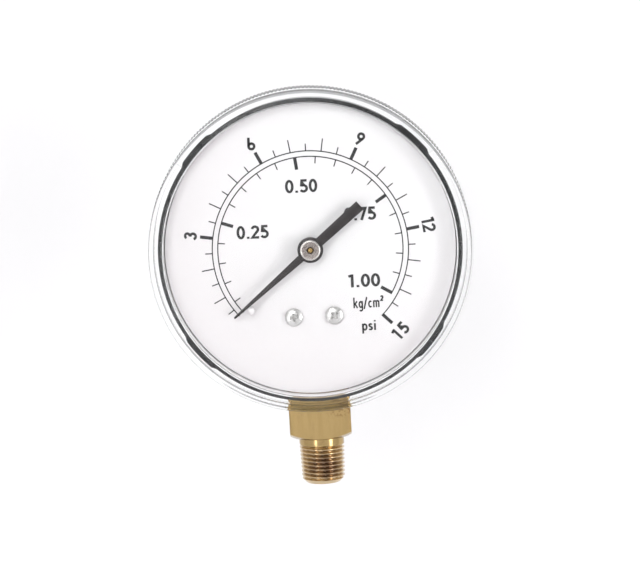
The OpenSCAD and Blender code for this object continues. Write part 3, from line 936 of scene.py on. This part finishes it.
make_pointer()
make_bushing()
make_screws()
make_stop_pin()


# ---------------------------------------------------------------- brass socket

PITCH = 25.4 / 27
THREAD_LEN = 7.9
THREAD_R = 5.15
THREAD_DEPTH = 0.66
CREST_FLAT = 0.2
THREAD_FLANK = 0.72
TAPER = 1 / 32
NOSE_R = 3.95
NECK_TOP = 9.8
NECK_R = 5.25
BORE_R = 1.6


def thread_radius(angle, z):
    """Radius of the right-hand taper thread at a place on the stem, with its run-out and end chamfer."""
    crest = THREAD_R + TAPER * (z - THREAD_LEN / 2)
    run_out = max(0.0, min(1.0, (THREAD_LEN - z) / PITCH + 0.5))
    phase = (z / PITCH + angle / 360) % 1
    tooth = abs(2 * phase - 1)
    cut = max(0.0, min(1.0, (tooth - CREST_FLAT) / THREAD_FLANK))
    chamfer = NOSE_R + z - STEM_END
    return min(crest - THREAD_DEPTH * run_out * cut, chamfer)


def make_stem():
    """Hollow threaded stem from its chamfered end to the top of the plain neck."""
    rows_per_pitch = 14
    to_cut = THREAD_R
    count = int((THREAD_LEN - STEM_END) / PITCH * rows_per_pitch)
    levels = [STEM_END + (THREAD_LEN - STEM_END) * k / count for k in range(count + 1)]
    profile = [(BORE_R, NECK_TOP + 0.4), (BORE_R, STEM_END + 0.3), (BORE_R + 0.3, STEM_END)]
    profile += [(to_cut, z) for z in levels]
    profile += [(NECK_R - 0.03, THREAD_LEN + 0.1), (NECK_R, THREAD_LEN + 0.2), (NECK_R, THREAD_LEN + 0.24)]
    profile += [(NECK_R, NECK_TOP - 0.2), (NECK_R, NECK_TOP - 0.16), (NECK_R + 0.1, NECK_TOP - 0.06)]
    profile += [(NECK_R + 0.35, NECK_TOP), (NECK_R + 0.35, NECK_TOP + 0.4)]

    def cut(r, h, angle):
        return thread_radius(angle, h) if r == to_cut else r

    stem = thing("stem_thread", turned(profile, 144, at=on_stem, shape=cut))
    return finished(stem, BRASS, sharp=45)


def make_block():
    """Square wrench block with broken edges and a turned lower chamfer, and the foot inside the case."""
    flat = HALF_FLATS
    edge = 0.5
    top = AXIS_Z - 20.6
    foot_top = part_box("socket")[1].z / MM

    def upright(x, y, z):
        return Vector((x, y, z)) * MM

    outline = [(flat, -flat + edge), (flat, flat - edge), (flat - edge, flat), (-flat + edge, flat),
               (-flat, flat - edge), (-flat, -flat + edge), (-flat + edge, -flat), (flat - edge, -flat)]
    block = thing("block", slab(outline, NECK_TOP, top, at=upright))
    cone = [(0, NECK_TOP - 1), (flat - 0.25, NECK_TOP - 1), (flat - 0.25, NECK_TOP)]
    cone += [(flat * 1.43, NECK_TOP + 1.75), (flat * 1.43, top + 1), (0, top + 1)]
    carved(block, turned(cone, 144, at=on_stem, closed=False), "INTERSECT")
    foot = [(-flat, -0.3), (flat, -0.3), (flat, flat), (-flat, flat)]
    carved(block, slab(foot, top - 0.5, foot_top, at=upright), "UNION")
    bore = [(0, NECK_TOP - 1), (BORE_R, NECK_TOP - 1), (BORE_R, top - 1.2), (0, top - 1.2)]
    carved(block, turned(bore, 48, at=on_stem, closed=False))
    rounded(block, 0.09, segments=2, angle=30)
    return finished(block, BRASS, replaces=["socket"])


make_stem()
make_block()


# ---------------------------------------------------------------- CAD nodes that show or lie inside

CAD_FINISH = {
    "dial": WHITE,
    "bourdon_tube": BRONZE,
    "hairspring": BRONZE,
    "tube_tip": MOVEMENT_BRASS,
    "link": MOVEMENT_BRASS,
    "sector_gear": MOVEMENT_BRASS,
    "pinion": MOVEMENT_BRASS,
    "hairspring_collet": MOVEMENT_BRASS,
    "hairspring_stud": MOVEMENT_BRASS,
    "front_plate": MOVEMENT_BRASS,
    "back_plate": MOVEMENT_BRASS,
    "pillars": MOVEMENT_BRASS,
    "tip_pin": PIN_STEEL,
    "tail_pin": PIN_STEEL,
    "sector_arbor": PIN_STEEL,
    "plate_screws": STEEL,
    "movement_screws": STEEL,
}

for node, material in CAD_FINISH.items():
    for material_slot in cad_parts[node].material_slots:
        material_slot.material = material


# ---------------------------------------------------------------- stage, light and camera

def pale_paper():
    """White paper that is see-through from behind, so the gauge's back can be seen past it."""
    m = Shader("pale_paper", (0.96, 0.955, 0.965), 0.9)
    m.rough(m.noise(30, detail=2), 0.85, 0.95)
    through = m.node("ShaderNodeBsdfTransparent")
    geometry = m.node("ShaderNodeNewGeometry")
    both = m.node("ShaderNodeMixShader")
    m.link(geometry.outputs["Backfacing"], both.inputs["Fac"])
    m.link(m.bsdf.outputs["BSDF"], both.inputs[1])
    m.link(through.outputs["BSDF"], both.inputs[2])
    m.link(both.outputs["Shader"], m.tree.nodes["Material Output"].inputs["Surface"])
    return m.material


def make_stage():
    """A pale floor below the gauge that curves up into a pale wall behind it."""
    side = 2500
    near, wall, height = -2500, 90, 1500
    drop = 110
    floor_z = cad_low.z / MM - drop
    bend = 45
    side_view = [(near, floor_z)] + arc(wall - bend, floor_z + bend, bend, -90, 0, 24) + [(wall, height)]
    bm = bmesh.new()
    rows = [[bm.verts.new(Vector((x, y, z)) * MM) for x in (-side, side)] for y, z in side_view]
    for first, second in zip(rows, rows[1:]):
        bm.faces.new((first[0], first[1], second[1], second[0]))
    paper = thing("paper", bm)
    paper.data.materials.append(pale_paper())
    paper.data.shade_smooth()


def softbox(name, place, aim, size, watts):
    light = bpy.data.lights.new(name, "AREA")
    light.shape = "RECTANGLE"
    light.size, light.size_y = size
    light.energy = watts
    lamp = bpy.data.objects.new(name, light)
    lamp.location = place
    lamp.rotation_mode = "QUATERNION"
    lamp.rotation_quaternion = (Vector(place) - Vector(aim)).to_track_quat("Z", "Y")
    bpy.context.scene.collection.objects.link(lamp)


def tent():
    """Soft light from all around, dimmer from the front, where the tent is open."""
    world = bpy.data.worlds.new("tent")
    world.use_nodes = True
    tree = world.node_tree
    direction = tree.nodes.new("ShaderNodeTexCoord")
    axes = tree.nodes.new("ShaderNodeSeparateXYZ")
    dimmer = tree.nodes.new("ShaderNodeMapRange")
    dimmer.interpolation_type = "SMOOTHSTEP"
    for socket, value in (("From Min", -0.98), ("From Max", -0.4), ("To Min", 0.28), ("To Max", 0.94)):
        dimmer.inputs[socket].default_value = value
    tree.links.new(direction.outputs["Generated"], axes.inputs["Vector"])
    tree.links.new(axes.outputs["Y"], dimmer.inputs["Value"])
    tree.links.new(dimmer.outputs["Result"], tree.nodes["Background"].inputs["Strength"])
    tree.nodes["Background"].inputs["Color"].default_value = (1, 1, 1, 1)
    return world


def make_light():
    """A key above the camera and an upright strip at each side, which draws a line on the turned brass."""
    aim = DIAL_CENTRE
    softbox("key", aim + Vector((-0.18, -0.84, 0.38)), aim, (0.45, 0.3), 1.9)
    softbox("strip_left", aim + Vector((-0.26, -0.43, -0.06)), aim, (0.08, 0.4), 0.45)
    softbox("strip_right", aim + Vector((0.4, -0.34, -0.06)), aim, (0.12, 0.4), 1.0)
    bpy.context.scene.world = tent()
    bpy.context.scene.view_settings.view_transform = "Standard"


CAMERA_DISTANCE = 0.47
CAMERA_AZIMUTH = 0.7
CAMERA_ELEVATION = 5.0
CAMERA_ROLL = 3.24
FIELD_WIDTH = 0.1466
AIM_RIGHT = 0.0022
AIM_DOWN = 0.0093


def make_camera():
    """Camera a little above and to the left of the dial's axis, turned so that the gauge leans left."""
    a = math.radians(CAMERA_AZIMUTH)
    e = math.radians(CAMERA_ELEVATION)
    back = Vector((math.sin(a) * math.cos(e), -math.cos(a) * math.cos(e), math.sin(e)))
    place = DIAL_CENTRE + back * CAMERA_DISTANCE
    data = bpy.data.cameras.new("camera")
    data.sensor_width = 36.0
    data.lens = data.sensor_width * CAMERA_DISTANCE / FIELD_WIDTH
    data.clip_start = 0.01
    data.dof.use_dof = False
    camera = bpy.data.objects.new("camera", data)
    roll = Matrix.Rotation(math.radians(-CAMERA_ROLL), 4, "Z")
    level = back.to_track_quat("Z", "Y").to_matrix().to_4x4() @ roll
    aim = DIAL_CENTRE + level.to_3x3() @ Vector((AIM_RIGHT, -AIM_DOWN, 0))
    facing = (place - aim).to_track_quat("Z", "Y").to_matrix().to_4x4() @ roll
    camera.matrix_world = Matrix.Translation(place) @ facing
    bpy.context.scene.collection.objects.link(camera)
    bpy.context.scene.camera = camera


make_stage()
make_light()
make_camera()
